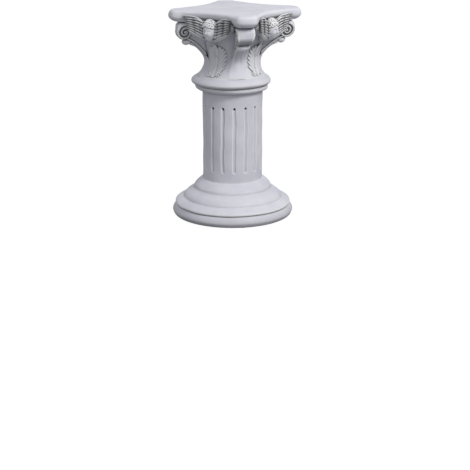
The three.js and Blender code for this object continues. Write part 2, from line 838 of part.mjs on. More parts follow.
const scrollSolid = geometryOf(scroll());
const cornerLeafSolid = geometryOf(cornerLeaf());
["rear_right", "rear_left", "front_left", "front_right"].forEach((corner, i) => {
  const turned = new THREE.Group();
  turned.rotation.z = radians(45 + 90 * i);
  place(turned, `scroll_${corner}`, scrollSolid, castWhite);
  place(turned, `corner_leaf_${corner}`, cornerLeafSolid, castWhite);
  column.add(turned);
});

const cherubSolid = geometryOf(cherub());
const faceLeafSolid = geometryOf(faceLeaf());
["right", "rear", "left", "front"].forEach((face, i) => {
  const turned = new THREE.Group();
  turned.rotation.z = radians(90 * i);
  place(turned, `cherub_${face}`, cherubSolid, castWhite);
  place(turned, `face_leaf_${face}`, faceLeafSolid, castWhite);
  column.add(turned);
});

const lowerSeat = plinthFoot + lowerRecessDepth;
const upperSeat = abacusFoot - upperRecessDepth;
place(column, "tie_rod", post(rodRadius, plinthFoot + rodInset, abacusFoot - rodInset), zincSteel);
place(column, "lower_washer", washer(washerRadius, lowerSeat - washerHeight, washerHeight), zincSteel);
const springSeat = lowerSeat - washerHeight - springWasherHeight;
place(column, "spring_washer", washer(springWasherRadius, springSeat, springWasherHeight), zincSteel);
place(column, "lower_nut", nut(springSeat - nutHeight), zincSteel);
place(column, "upper_washer", washer(washerRadius, upperSeat, washerHeight), zincSteel);
place(column, "upper_nut", nut(upperSeat + washerHeight), zincSteel);

for (let i = 0; i < 4; i++) {
  const dowel = post(dowelRadius, abacusFoot - dowelLength / 2, abacusFoot + dowelLength / 2);
  dowel.translate(dowelCircle, 0, 0).rotateZ((i * Math.PI) / 2);
  place(column, `abacus_dowel_${i + 1}`, dowel, beech);
  const pad = post(padRadius, 0, padHeight);
  pad.translate(padCircle, 0, 0).rotateZ(((i + 0.5) * Math.PI) / 2);
  place(column, `felt_pad_${i + 1}`, pad, felt);
}

export default column;
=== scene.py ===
from math import ceil, cos, pi, radians, sin

import bpy
import numpy as np
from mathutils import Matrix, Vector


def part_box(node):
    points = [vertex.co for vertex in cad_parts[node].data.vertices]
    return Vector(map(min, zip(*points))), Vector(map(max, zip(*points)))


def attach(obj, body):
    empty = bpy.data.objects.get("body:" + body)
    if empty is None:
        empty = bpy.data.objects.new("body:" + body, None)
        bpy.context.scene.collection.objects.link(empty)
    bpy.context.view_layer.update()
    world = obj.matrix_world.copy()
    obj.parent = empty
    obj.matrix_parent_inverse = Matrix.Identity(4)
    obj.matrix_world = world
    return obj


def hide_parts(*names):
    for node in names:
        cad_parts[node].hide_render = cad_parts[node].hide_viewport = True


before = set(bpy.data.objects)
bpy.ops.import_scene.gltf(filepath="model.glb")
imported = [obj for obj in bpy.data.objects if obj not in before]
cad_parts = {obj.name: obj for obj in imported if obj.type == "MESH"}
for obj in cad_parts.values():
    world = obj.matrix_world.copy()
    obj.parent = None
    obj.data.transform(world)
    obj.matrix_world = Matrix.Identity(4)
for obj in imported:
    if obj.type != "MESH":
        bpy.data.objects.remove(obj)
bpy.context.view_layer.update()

mm = 0.001

# ---------------------------------------------------------------- camera
# The stand is seen from in front and to its right, looking down on its top, so that the corner
# between the front and the right side points nearly at the viewer. The photograph is square,
# and one of its pixels covers `pixel` at the distance of the stand's axis.
photo_size = 470
stand_height_in_pixels = 211.3
camera_distance_in_pixels = 1200
camera_height_in_pixels = 366.4
axis_shift_in_pixels = 2.5
focal_length_in_pixels = 1199.6
camera_azimuth = radians(34.57)
camera_tilt = radians(18.1)
sensor_width = 36
farthest_seen = 20

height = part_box("abacus")[1].z
pixel = height / stand_height_in_pixels
camera_data = bpy.data.cameras.new("camera")
camera_data.sensor_width = sensor_width
camera_data.lens = focal_length_in_pixels / photo_size * sensor_width
camera_data.clip_end = farthest_seen
camera = bpy.data.objects.new("camera", camera_data)
bpy.context.collection.objects.link(camera)
back = camera_distance_in_pixels * pixel
shift = axis_shift_in_pixels * pixel
camera.location = (
    back * sin(camera_azimuth) + shift * cos(camera_azimuth),
    shift * sin(camera_azimuth) - back * cos(camera_azimuth),
    camera_height_in_pixels * pixel,
)
camera.rotation_euler = (pi / 2 - camera_tilt, 0, camera_azimuth)
bpy.context.scene.camera = camera

# ---------------------------------------------------------------- floor and light
# A plain white floor that only takes the stand's soft shadow, a soft lamp from high on the right,
# a large weak one from low on the left, and a pale surround, brighter overhead. Rays from the
# camera see the floor and the surround as white.
scene = bpy.context.scene
scene.view_settings.view_transform = "Standard"


def shader(material_or_world):
    """The emptied node tree of a new material or world, as three functions that add to it."""
    material_or_world.use_nodes = True
    tree = material_or_world.node_tree
    tree.nodes.clear()

    def node(kind, *values, **named):
        """A node whose inputs take values, sockets or the first outputs of other nodes, in order
        or by name. A name that starts small is a property of the node's own, and None is left."""
        made = tree.nodes.new("ShaderNode" + kind)
        feeds = list(zip(made.inputs, values))
        for name, value in named.items():
            if name[0].islower():
                setattr(made, name, value)
            else:
                feeds.append((made.inputs[name.replace("_", " ")], value))
        for socket, value in feeds:
            if isinstance(value, bpy.types.Node):
                value = value.outputs[0]
            if isinstance(value, bpy.types.NodeSocket):
                tree.links.new(value, socket)
            elif value is not None:
                socket.default_value = value
        return made

    def spread(value, low, high, start=0.0, end=1.0):
        """A value carried from the range low to high over to the range start to end."""
        return node("MapRange", value, low, high, start, end)

    def blend(share, a, b):
        """A colour between two others. A Mix node has its colours behind five other inputs."""
        return node("Mix", share, *[None] * 5, a, b, data_type="RGBA").outputs[2]

    return node, spread, blend


white = (1, 1, 1, 1)
sky_colour, sky_low, sky_high, sky_reach = (0.93, 0.95, 1.0, 1), 0.24, 0.68, 0.9
world = bpy.data.worlds.new("surround")
scene.world = world
node, spread, _ = shader(world)
rays = node("LightPath").outputs
sky_level = node("SeparateXYZ", node("TexCoord").outputs["Generated"]).outputs["Z"]
lit = node("Background", sky_colour, spread(sky_level, 0, sky_reach, sky_low, sky_high))
direct = node("Math", rays["Is Camera Ray"], rays["Is Glossy Ray"], operation="MAXIMUM")
node("OutputWorld", node("MixShader", direct, lit, node("Background", white, 1)))

floor_half = 6
floor_grey, floor_white_share, floor_glow = (0.34, 0.34, 0.35, 1), 0.7, 1.36
floor_mesh = bpy.data.meshes.new("floor")
floor_corners = [(x * floor_half, y * floor_half, 0) for x, y in ((-1, -1), (1, -1), (1, 1), (-1, 1))]
floor_mesh.from_pydata(floor_corners, [], [(0, 1, 2, 3)])
floor = bpy.data.objects.new("floor", floor_mesh)
scene.collection.objects.link(floor)
floor_paint = bpy.data.materials.new("floor")
node, *_ = shader(floor_paint)
seen = node("LightPath").outputs["Is Camera Ray"]
share = node("Math", seen, floor_white_share, operation="MULTIPLY")
matt = node("BsdfDiffuse", Color=floor_grey)
glow = node("Emission", Color=white, Strength=floor_glow)
node("OutputMaterial", node("MixShader", share, matt, glow))
floor_mesh.materials.append(floor_paint)


def lamp(name, azimuth, elevation, away, size, watts, colour):
    """A square lamp that looks at the middle of the stand from an azimuth and elevation."""
    data = bpy.data.lights.new(name, "AREA")
    data.size = size
    data.energy = watts
    data.color = colour
    made = bpy.data.objects.new(name, data)
    scene.collection.objects.link(made)
    flat = away * cos(elevation)
    made.location = (flat * sin(azimuth), -flat * cos(azimuth), height / 2 + away * sin(elevation))
    made.rotation_euler = (pi / 2 - elevation, 0, azimuth)


right_of_camera, left_of_camera = camera_azimuth + radians(42), camera_azimuth - radians(20)
warm, cool = (1, 0.985, 0.975), (0.94, 0.955, 1)
lamp("key_lamp", right_of_camera, radians(41), away=1.6, size=0.5, watts=14, colour=warm)
lamp("fill_lamp", left_of_camera, radians(14), away=2.2, size=1.2, watts=2.9, colour=cool)

# ---------------------------------------------------------------- plinth
# The round plinth at the bottom is one plaster casting with a softly bulged edge. A register on
# its top centres the base, and a recess below takes the lower nut. It stands on felt pads.


def full_turn(count):
    """Angles evenly round a whole turn."""
    return np.linspace(0, 2 * pi, count, endpoint=False)


def grid(x, y, z):
    """Points from their three coordinates, each spread over the whole grid."""
    return np.stack(np.broadcast_arrays(x, y, z), -1)


def round_axis(radius, angle, level):
    """Points from a radius, an angle about the axis and a level."""
    return grid(radius * np.cos(angle), radius * np.sin(angle), level)


def beside(radius, level, *steps):
    """Points of a profile, each given in millimetres out from a radius and up from a level."""
    return [(radius + out * mm, level + up * mm) for out, up in steps]


def evenly(line, spacing):
    """The points that lie `spacing` apart, or a little less, along a line of points."""
    lengths = np.r_[0, np.cumsum(np.linalg.norm(np.diff(line, axis=0), axis=1))]
    along = np.linspace(0, lengths[-1], max(2, ceil(lengths[-1] / spacing) + 1))
    return np.stack([np.interp(along, lengths, column) for column in line.T], 1)


def soft_line(corners, softness, spacing=0.9 * mm):
    """A line along corner points, each rounded off by a parabola that touches both of its sides
    `softness` before and after the corner, but never past the middle of a side."""
    corners = np.asarray(corners, float)
    stretches = [corners[:1]]
    t = np.linspace(0, 1, 9)[:, None]
    for before, corner, after in zip(corners, corners[1:], corners[2:]):
        back_way, on_way = before - corner, after - corner
        start = corner + back_way * min(0.5, softness / np.linalg.norm(back_way))
        end = corner + on_way * min(0.5, softness / np.linalg.norm(on_way))
        stretches.append((1 - t) ** 2 * start + 2 * t * (1 - t) * corner + t**2 * end)
    return evenly(np.concatenate(stretches + [corners[-1:]]), spacing)


def outward(points, faces):
    """The skin with its faces turned so that the volume inside is positive."""
    volume = 0
    for f in faces:
        a = points[f[:, 0]]
        for i in range(1, f.shape[1] - 1):
            volume += np.einsum("ij,ij->", a, np.cross(points[f[:, i]], points[f[:, i + 1]]))
    return points, faces if volume > 0 else [f[:, ::-1] for f in faces]


def ring_skin(rows, closed=False):
    """A skin, which is points and a list of face arrays, over rows of points that are each a
    closed ring. The last row joins the first if `closed`, and otherwise both end rows are filled
    by a fan round their middle point."""
    count, width = rows.shape[:2]
    here = np.arange(count * width).reshape(count, width)
    below = here if closed else here[:-1]
    above = np.roll(here, -1, 0) if closed else here[1:]
    corners = [below, np.roll(below, -1, 1), np.roll(above, -1, 1), above]
    faces = [np.stack(corners, -1).reshape(-1, 4)]
    points = rows.reshape(-1, 3)
    if not closed:
        points = np.concatenate([points, rows[[0, -1]].mean(1)])
        for ring, middle, step in ((here[0], count * width, 1), (here[-1], count * width + 1, -1)):
            faces.append(np.stack([ring, np.roll(ring, step), np.full(width, middle)], -1))
    return outward(points, faces)


def stepped(radii, steps):
    """The stepped inside of a casting: each radius holds from one step's level to the next."""
    return [(radius, level) for radius, *ends in zip(radii, steps, steps[1:]) for level in ends]


turned_columns = 220


def turned(outer, radii, steps):
    """A skin turned on the axis: the outer line of a casting and its stepped inside go round."""
    radius, level = np.concatenate([outer, stepped(radii, steps)]).T[:, :, None]
    return ring_skin(round_axis(radius, full_turn(turned_columns), level), closed=True)


def hand_cast(points):
    """Points moved as a soft mould moves them: by slow sine waves of the place itself, up to half
    a millimetre, so that pieces which touch stay together. It fades at the foot and the top.
    Outside the bores the neck also sits a little to the left and the capital to the right."""
    x, y, z = points.T / mm
    calm = np.clip(z / 20, 0, 1) * np.clip((height / mm - z) / 6, 0, 1)
    sway_x = 0.34 * np.sin(0.061 * z + 0.038 * y + 1.3) + 0.16 * np.sin(0.17 * z + 0.13 * y)
    sway_y = 0.34 * np.sin(0.057 * z + 0.041 * x + 4.1) + 0.16 * np.sin(0.15 * z + 0.14 * x + 2)
    sway_z = 0.26 * np.sin(0.052 * x + 0.047 * y + 0.4) + 0.12 * np.sin(0.14 * x - 0.12 * y + 1)
    lean_levels, lean_steps = [182, 194, 208, 226, 244, 258, 272], [0, -2.2, -2.2, 0, 0.7, 2.2, 4]
    aside = np.interp(z, lean_levels, lean_steps) * np.clip((np.hypot(x, y) - 22) / 10, 0, 1)
    sway = np.stack([sway_x, sway_y, sway_z], 1) * calm[:, None]
    right = np.array([cos(camera_azimuth), sin(camera_azimuth), 0])
    return points + (sway + aside[:, None] * right) * mm


def hollowness(mesh):
    """How hollow the surface is at each vertex, from -1 on an edge to 1 in a groove: the mean
    over its edges of the rise above the tangent plane over length squared, evened out twice."""
    full_hollow = 3 * mm
    count = len(mesh.vertices)
    points, normals = np.empty(count * 3), np.empty(count * 3)
    mesh.vertices.foreach_get("co", points)
    mesh.vertex_normals.foreach_get("vector", normals)
    ends = np.empty(len(mesh.edges) * 2, np.int32)
    mesh.edges.foreach_get("vertices", ends)
    points, normals, (a, b) = points.reshape(-1, 3), normals.reshape(-1, 3), ends.reshape(-1, 2).T
    way = points[b] - points[a]
    squared = np.maximum((way**2).sum(1), 1e-12)
    rise = np.bincount(a, (way * normals[a]).sum(1) / squared, count)
    rise -= np.bincount(b, (way * normals[b]).sum(1) / squared, count)
    edges = np.maximum(np.bincount(a, minlength=count) + np.bincount(b, minlength=count), 1)
    hollow = np.clip(2 * rise / edges * full_hollow, -1.5, 1.5)
    for _ in range(2):
        near = np.bincount(a, hollow[b], count) + np.bincount(b, hollow[a], count)
        hollow = (hollow + near / edges) / 2
    return np.clip(hollow, -1, 1)


def cast_white():
    """Matt white plaster: soft lilac-grey clouding, painted shade in the hollows, where the surface
    is shut in and on undersides, painted shade darker towards the floor, paler edges that are
    partly wear and partly painted highlight, fine grain and pin holes. A point attribute says how
    much of the painted shade each point takes."""
    lilac, pale_lilac, worn_and_highlit_white = (0.62, 0.62, 0.68, 1), (0.7, 0.7, 0.745, 1), (0.8, 0.8, 0.81, 1)
    # The painted shade's near-black colour, its most, and the reach over which shut-in surfaces
    # darken.
    painted_shade_black, most_painted_shade, painted_shade_reach = (0.05, 0.048, 0.045, 1), 0.96, 4 * mm
    # Painted shade darker towards the floor: where it starts, where it is full, and how much.
    low_painted_shade_top, low_painted_shade_foot, low_painted_shade_share = 17 * mm, 6 * mm, 0.26
    cloud_scale, soot_scale, swell_scale, gloss_scale, grain_scale = 26, 140, 70, 90, 650
    pin_scale, pin_share, relief_depth = 420, 0.12, 0.6 * mm
    material = bpy.data.materials.new("cast_white")
    node, spread, blend = shader(material)
    place = node("TexCoord").outputs["Object"]

    def noise(scale, detail, roughness=0.55):
        """Noise over the piece, with `scale` swells to the metre."""
        return node("TexNoise", Vector=place, Scale=scale, Detail=detail, Roughness=roughness)

    def math(operation, a, b):
        """Two values worked into one."""
        return node("Math", a, b, operation=operation)

    hollow = node("Attribute", attribute_name="hollow").outputs["Fac"]
    painted_shade_share = node("Attribute", attribute_name="painted_shade_share").outputs["Fac"]
    shut_in = node("AmbientOcclusion", Distance=painted_shade_reach, samples=8).outputs["AO"]
    facing_up = node("SeparateXYZ", node("NewGeometry").outputs["Normal"]).outputs["Z"]
    # Painted shade: darker in hollows, where other parts shut the surface in, and on undersides, as
    # far as each point's share allows.
    painted_shade = math("ADD", spread(hollow, 0.1, 0.62), spread(shut_in, 0.86, 0.3))
    painted_shade = math("MULTIPLY", painted_shade, spread(noise(soot_scale, 4), 0.25, 0.62, 0.6, 1.15))
    painted_shade = math("MULTIPLY", math("ADD", painted_shade, spread(facing_up, -0.08, -0.5, 0, 0.36)), painted_shade_share)
    level = node("SeparateXYZ", place).outputs["Z"]
    # More painted shade towards the floor.
    painted_shade = math("ADD", painted_shade, spread(level, low_painted_shade_top, low_painted_shade_foot, 0, low_painted_shade_share))
    painted_shade = math("MINIMUM", painted_shade, most_painted_shade)
    clouds = blend(spread(noise(cloud_scale, 3), 0.35, 0.68), lilac, pale_lilac)
    # Paler convex edges, partly wear and partly painted highlight.
    worn_and_highlit = blend(spread(hollow, -0.15, -0.7), clouds, worn_and_highlit_white)
    painted_shaded = blend(painted_shade, worn_and_highlit, painted_shade_black)
    pin_holes = spread(node("TexVoronoi", Vector=place, Scale=pin_scale), 0, 0.16)
    swell = math("MULTIPLY", noise(swell_scale, 3), 0.9)
    grain = math("MULTIPLY", noise(grain_scale, 4, 0.7), 0.22)
    relief = math("ADD", math("ADD", swell, grain), math("MULTIPLY", pin_holes, pin_share))
    bump = node("Bump", Height=relief, Strength=0.55, Distance=relief_depth)
    rough = spread(noise(gloss_scale, 3), 0.3, 0.7, 0.52, 0.7)
    plaster = node("BsdfPrincipled", painted_shaded, Roughness=rough, Normal=bump, Specular_IOR_Level=0.35)
    node("OutputMaterial", plaster)
    return material


casting_finish = cast_white()
sharp_angle = radians(50)


def cast_piece(name, skin, *nodes, painted_shade_share):
    """A casting from a skin: shaped by the mould, shaded smooth but for sharp corners, with its
    hollows and its share of painted shade marked for the finish. It stands for the given nodes."""
    points, faces = skin
    points = hand_cast(points)
    mesh = bpy.data.meshes.new(name)
    mesh.vertices.add(len(points))
    mesh.vertices.foreach_set("co", points.astype(np.float32).ravel())
    sizes = np.concatenate([np.full(len(f), f.shape[1]) for f in faces])
    ring = np.concatenate([f.ravel() for f in faces])
    mesh.loops.add(len(ring))
    mesh.loops.foreach_set("vertex_index", ring.astype(np.int32))
    mesh.polygons.add(len(sizes))
    mesh.polygons.foreach_set("loop_start", (np.cumsum(sizes) - sizes).astype(np.int32))
    mesh.update(calc_edges=True)
    mesh.validate()
    mesh.polygons.foreach_set("use_smooth", np.ones(len(mesh.polygons), bool))
    mesh.set_sharp_from_angle(angle=sharp_angle)
    marks = {"hollow": hollowness(mesh), "painted_shade_share": np.broadcast_to(painted_shade_share, len(points))}
    for mark, values in marks.items():
        attribute = mesh.attributes.new(mark, "FLOAT", "POINT")
        attribute.data.foreach_set("value", values.astype(np.float32))
    mesh.materials.append(casting_finish)
    piece = bpy.data.objects.new(name, mesh)
    scene.collection.objects.link(piece)
    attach(piece, "root")
    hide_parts(*nodes)


def levels(node_name):
    """The lowest and highest level of a node."""
    low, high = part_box(node_name)
    return low.z, high.z


rod_bore = 5 * mm
register_radius, register_height = 30 * mm, 3 * mm
recess_radius, recess_depth = 14 * mm, 13 * mm
seat_gap = 0.3 * mm
# Share of painted shade on the turned castings.
turned_painted_shade = 0.35
plinth_foot = levels("plinth")[0]
plinth_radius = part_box("plinth")[1].x
skirt_foot = levels("base_moulding")[0]
register_top = skirt_foot + register_height
plinth_edge = soft_line(
    beside(recess_radius, plinth_foot, (3, 0))
    + beside(plinth_radius, plinth_foot, (-3, 0), (-0.1, 6.5))
    + beside(plinth_radius, skirt_foot, (-2.7, -4), (-5.6, 0))
    + beside(register_radius, skirt_foot, (1, 0)),
    softness=2.4 * mm,
)
plinth_skin = turned(
    plinth_edge,
    [register_radius, rod_bore, recess_radius],
    [skirt_foot, register_top, plinth_foot + recess_depth, plinth_foot],
)
cast_piece("plinth_casting", plinth_skin, "plinth", painted_shade_share=turned_painted_shade)

# ---------------------------------------------------------------- base moulding
# One casting in three tiers: a bulging skirt, a sloping step and a full roll under the shaft.
# A socket below fits the plinth's register, and a spigot on top centres the shaft.
skirt_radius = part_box("base_moulding")[1].x
step_radius, roll_radius = 71.8 * mm, 58.4 * mm
shaft_radius, spigot_radius = 43 * mm, 20 * mm
step_foot, roll_foot = skirt_foot + 10 * mm, skirt_foot + 24.6 * mm
shaft_foot = levels("shaft")[0]
shaft_seat = shaft_foot - 1.4 * mm
base_spigot_top = shaft_seat + 6 * mm
tiers = soft_line(
    beside(register_radius, skirt_foot, (4, 0))
    + beside(skirt_radius, skirt_foot, (-3.2, 0), (-1.2, 1.4), (-1.4, 4), (-6.5, 7.4))
    + beside(step_radius, step_foot, (-0.4, 0.6), (-1.2, 3.2), (-4.8, 7.2))
    + beside(roll_radius, roll_foot, (1.2, -2.8), (-2.4, 0.1), (-2.6, 3), (-6, 6.6))
    + beside(shaft_radius, shaft_seat, (3.4, -1.6), (0.8, 0))
    + beside(spigot_radius, shaft_seat, (2, 0)),
    softness=2.6 * mm,
)
base_skin = turned(
    tiers,
    [spigot_radius, rod_bore, register_radius + seat_gap],
    [shaft_seat, base_spigot_top, register_top + seat_gap, skirt_foot],
)
cast_piece("base_casting", base_skin, "base_moulding", painted_shade_share=turned_painted_shade)

# ---------------------------------------------------------------- shaft
# A drum cast on its own, with sixteen shallow round-ended flutes between two plain collars. Each
# flute starts from a small deep hole at its upper end, and the top flares under the neck ring.
flute_count = 16
flute_width, flute_depth = 5.2 * mm, 1.7 * mm
flute_turn = radians(-6.6)
flute_edge_wear = 0.12 * mm
lower_collar, upper_collar = 12.3 * mm, 20.9 * mm
plunge_radius, plunge_depth, plunge_rise = 1.7 * mm, 3.2 * mm, 1 * mm
columns_per_flute, shaft_rows = 30, 190
collar_flare, flare_height = 3.2 * mm, 4.5 * mm
# Shares of painted shade on the drum, in the flute pits and just under the neck ring.
drum_painted_shade, plunge_painted_shade, collar_painted_shade = 0.1, 1.1, 0.9
fillet_foot = levels("neck_fillet")[0]
neck_spigot_foot = fillet_foot - 8 * mm
socket = spigot_radius + seat_gap


def shaft_skin():
    """The drum's radius as a function of turn and level. A flute is a circle's arc over the
    distance to its middle line, and its upper end a small round pit. The last result is the share
    of painted shade at each point, which is most in the pits and next just under the neck ring."""
    turn = full_turn(flute_count * columns_per_flute)
    level = np.linspace(shaft_seat, fillet_foot, shaft_rows)[:, None]
    flare = np.clip((level - (fillet_foot - flare_height)) / flare_height, 0, 1)
    radius = shaft_radius + collar_flare * flare**1.7
    pitch = 2 * pi / flute_count
    off_middle = ((turn - flute_turn + pitch / 2) % pitch - pitch / 2) * shaft_radius
    low = shaft_foot + lower_collar + flute_width / 2
    high = fillet_foot - upper_collar - flute_width / 2
    past_end = np.maximum(0, np.maximum(low - level, level - high))
    arc = ((flute_width / 2) ** 2 + flute_depth**2) / (2 * flute_depth)
    away = np.sqrt(off_middle**2 + past_end**2)
    cut = np.sqrt(np.maximum(arc**2 - away**2, 0)) - (arc - flute_depth)
    cut = (cut + np.sqrt(cut**2 + flute_edge_wear**2)) / 2 - 0.5 * flute_edge_wear
    to_plunge = off_middle**2 + (level - high - plunge_rise) ** 2
    pit = np.exp(-((to_plunge / plunge_radius**2) ** 2))
    radius = radius - np.maximum(cut, 0) - plunge_depth * pit
    inside_levels = [fillet_foot, neck_spigot_foot, base_spigot_top, shaft_seat]
    inside = np.array(stepped([socket, rod_bore, socket], inside_levels)).T[:, :, None]
    rows = [round_axis(radius, turn, level), round_axis(inside[0], turn, inside[1])]
    under_ring = np.clip((level - fillet_foot + 3 * mm) / (2 * mm), 0, 1)
    painted_shade_share = drum_painted_shade + plunge_painted_shade * pit + collar_painted_shade * under_ring
    painted_shade_share = np.concatenate([painted_shade_share, np.zeros(rows[1].shape[:2])])
    return ring_skin(np.concatenate(rows), closed=True), painted_shade_share.ravel()


shaft_surface, shaft_wash = shaft_skin()
cast_piece("shaft_casting", shaft_surface, "shaft", painted_shade_share=shaft_wash)

# ---------------------------------------------------------------- neck rings
# Two loose rings slipped over the bell's spigot: a narrow rounded one on the shaft, and above it
# a large one, fullest below its middle, on whose sloping top the bell stands.
torus_foot, bell_foot = levels("neck_torus")
fillet_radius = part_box("neck_fillet")[1].x
torus_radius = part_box("neck_torus")[1].x
neck_hole = spigot_radius + seat_gap
fillet_line = soft_line(
    beside(neck_hole, fillet_foot, (3, 0))
    + beside(fillet_radius, fillet_foot, (-3.8, 0), (-0.4, 1.4))
    + beside(fillet_radius, torus_foot, (0.6, -2.6), (-0.6, 0))
    + beside(neck_hole, torus_foot, (3, 0)),
    softness=1.8 * mm,
    spacing=0.6 * mm,
)
fillet_skin = turned(fillet_line, [neck_hole], [torus_foot, fillet_foot])
# The neck rings take a larger share of painted shade than the other turned castings.
cast_piece("neck_fillet_casting", fillet_skin, "neck_fillet", painted_shade_share=0.6)
torus_line = soft_line(
    beside(neck_hole, torus_foot, (3, 0))
    + beside(fillet_radius, torus_foot, (-1, 0))
    + beside(torus_radius, torus_foot, (-2, 0.8), (0.6, 4.8), (-2.2, 9.4))
    + beside(torus_radius, bell_foot, (-8, -0.6), (-8.4, 0))
    + beside(neck_hole, bell_foot, (3, 0)),
    softness=2.6 * mm,
    spacing=0.7 * mm,
)
torus_skin = turned(torus_line, [neck_hole], [bell_foot, torus_foot])
cast_piece("neck_torus_casting", torus_skin, "neck_torus", painted_shade_share=0.7)

# ---------------------------------------------------------------- bell
# The core of the capital: a flared drum cast with a long spigot that holds both neck rings. Its
# top is flat, with a recess for the upper nut, and everything carved is bonded to its flank.
abacus_foot, abacus_top = levels("abacus")
bell_height = abacus_foot - bell_foot
bell_foot_radius, bell_waist_radius, bell_rim_radius = 45.6 * mm, 36.5 * mm, 54.5 * mm
bell_waist = [(1.4, 0.19), (0.4, 0.34), (2.4, 0.48), (6, 0.62)]
bell_flank = soft_line(
    beside(bell_foot_radius, bell_foot, (2.4, 0), (-1, 3.4))
    + beside(bell_waist_radius, bell_foot, (4.6, 8.4))
    + [(bell_waist_radius + out * mm, bell_foot + share * bell_height) for out, share in bell_waist]
    + beside(bell_rim_radius, bell_foot + 0.79 * bell_height, (-6.5, 0))
    + [(bell_rim_radius, abacus_foot)],
    softness=9 * mm,
    spacing=1 * mm,
)
bell_skin = turned(
    bell_flank,
    [recess_radius, rod_bore, spigot_radius],
    [abacus_foot, abacus_foot - recess_depth, neck_spigot_foot, bell_foot],
)
cast_piece("bell_casting", bell_skin, "bell", painted_shade_share=0.45)


def bell_radius(level):
    """The radius of the bell's flank at a level."""
    return np.interp(level, bell_flank[:, 1], bell_flank[:, 0])


# ---------------------------------------------------------------- abacus
# The slab on top, one casting: four hollow sides between rounded corner blocks. Its edge is a
# soft pillow above a cove, and the cove is deepest in the middle of a side, over the carvings.
corner_reach, corner_width, corner_bulge = 91.2 * mm, 28 * mm, 3.2 * mm
side_hollow = 14 * mm
side_far = (corner_reach + corner_width / 2) / np.sqrt(2)
side_half = (corner_reach - corner_width / 2) / np.sqrt(2)
evening_rounds = 16


def side_reach(across):
    """How far out a hollow side stands at a distance across the face: a parabola."""
    return side_far - side_hollow * (1 - (across / side_half) ** 2)


def abacus_plan():
    """The outline seen from above: parabolas between the corners, which bulge as parabolas too.
    One quarter is worked out and turned four times, and the whole evened out again and again."""
    t = np.linspace(0, 1, 16)
    side = np.stack([side_reach(t * side_half), t * side_half], 1)
    t = np.linspace(-1, 1, 13)[1:-1]
    out, along = corner_reach + corner_bulge * (1 - t**2), t * corner_width / 2
    corner = np.stack([out - along, out + along], 1) / np.sqrt(2)
    x, y = evenly(np.concatenate([side, corner, side[::-1, ::-1]]), 1.3 * mm)[:-1].T
    plan = np.concatenate([np.stack(turn, 1) for turn in ((x, y), (-y, x), (-x, -y), (y, -x))])
    for _ in range(evening_rounds):
        plan = (np.roll(plan, 1, 0) + 2 * plan + np.roll(plan, -1, 0)) / 4
    return plan


def resampled(line, count):
    """A line of points carried over to `count` points."""
    along, places = np.linspace(0, 1, count), np.linspace(0, 1, len(line))
    return np.stack([np.interp(along, places, column) for column in line.T], 1)


def abacus_skin():
    """Rings of the plan, drawn in by the pillow and the cove, first along its own normals and
    then towards the middle, and shrunk across the flat top and bottom."""
    plan = abacus_plan()
    tangent = np.roll(plan, -2, 0) - np.roll(plan, 2, 0)
    normal = np.stack([tangent[:, 1], -tangent[:, 0]], 1)
    normal /= np.linalg.norm(normal, axis=1)[:, None]
    reach = np.linalg.norm(plan, axis=1)
    corner = np.clip((reach - side_reach(0) - 12 * mm) / (14 * mm), 0, 1)
    corner = corner**2 * (3 - 2 * corner)
    thick = abacus_top - abacus_foot
    side_edge = soft_line(
        beside(0, 0, (8.4, 0), (7.4, 3), (4.4, 6.6), (0.5, 8.2))
        + beside(0, thick, (-0.5, -3.2), (2, -0.4), (7, 0)),
        softness=3.4 * mm,
        spacing=0.5 * mm,
    )
    corner_edge = soft_line(
        beside(0, 0, (13, 0), (5.6, 0.6), (-0.8, 6))
        + beside(0, thick, (0.4, -3.6), (3.4, -0.6), (10, 0)),
        softness=3.6 * mm,
        spacing=0.5 * mm,
    )
    side_in, side_up = resampled(side_edge, 44).T[:, :, None]
    corner_in, corner_up = resampled(corner_edge, 44).T[:, :, None]
    draw = side_in * (1 - corner) + corner_in * corner
    rise = side_up * (1 - corner) + corner_up * corner
    near = np.minimum(draw, 3.2 * mm)
    flat = (plan - normal * near[..., None]) * (1 - (draw - near) / reach)[..., None]
    rows = grid(flat[..., 0], flat[..., 1], abacus_foot + rise)
    shrink = np.array([0.93, 0.82, 0.66, 0.48, 0.3, 0.12])[:, None, None] * [1, 1, 0] + [0, 0, 1]
    return ring_skin(np.concatenate([(rows[:1] * shrink)[::-1], rows, rows[-1:] * shrink]))


cast_piece("abacus_casting", abacus_skin(), "abacus", painted_shade_share=0.25)

# ---------------------------------------------------------------- corner scrolls
# A scroll stands on each corner of the bell and carries the corner of the abacus: a keg-shaped
# roll on a stem, both narrower below, with a band on each cheek that winds in to a button.
eye_reach, coil_radius = 72.4 * mm, 13.4 * mm
eye_level = abacus_foot - 1.3 * mm - coil_radius
coil_turns, coil_shrink = 2.25, 0.88
scroll_foot_width, scroll_head_width = 18 * mm, 27 * mm
button_radius, button_height, button_sink = 2.1 * mm, 1.9 * mm, 1 * mm
corner_places = {"front_right": -45, "rear_right": 45, "rear_left": 135, "front_left": -135}


def joined(skins):
    """Several skins as one."""
    starts = np.cumsum([0] + [len(points) for points, _ in skins])
    faces = [f + start for (_, own), start in zip(skins, starts) for f in own]
    return np.concatenate([points for points, _ in skins]), faces


def spun(skin, degrees):
    """A skin turned about the axis by an angle in degrees."""
    c, s = cos(radians(degrees)), sin(radians(degrees))
    points, faces = skin
    return points @ np.array([[c, s, 0], [-s, c, 0], [0, 0, 1]]), faces


def cast_four(kind, skin, places, painted_shade_share):
    """The same casting at four places round the axis, each with a name and an angle in degrees."""
    for place, degrees in places.items():
        cast_piece(f"{kind}_casting_{place}", spun(skin, degrees), f"{kind}_{place}", painted_shade_share=painted_shade_share)


def coil(angle):
    """The coil's outer radius, which shrinks evenly from straight up towards the outside."""
    return coil_radius * (1 - coil_shrink * angle / (2 * pi * coil_turns))


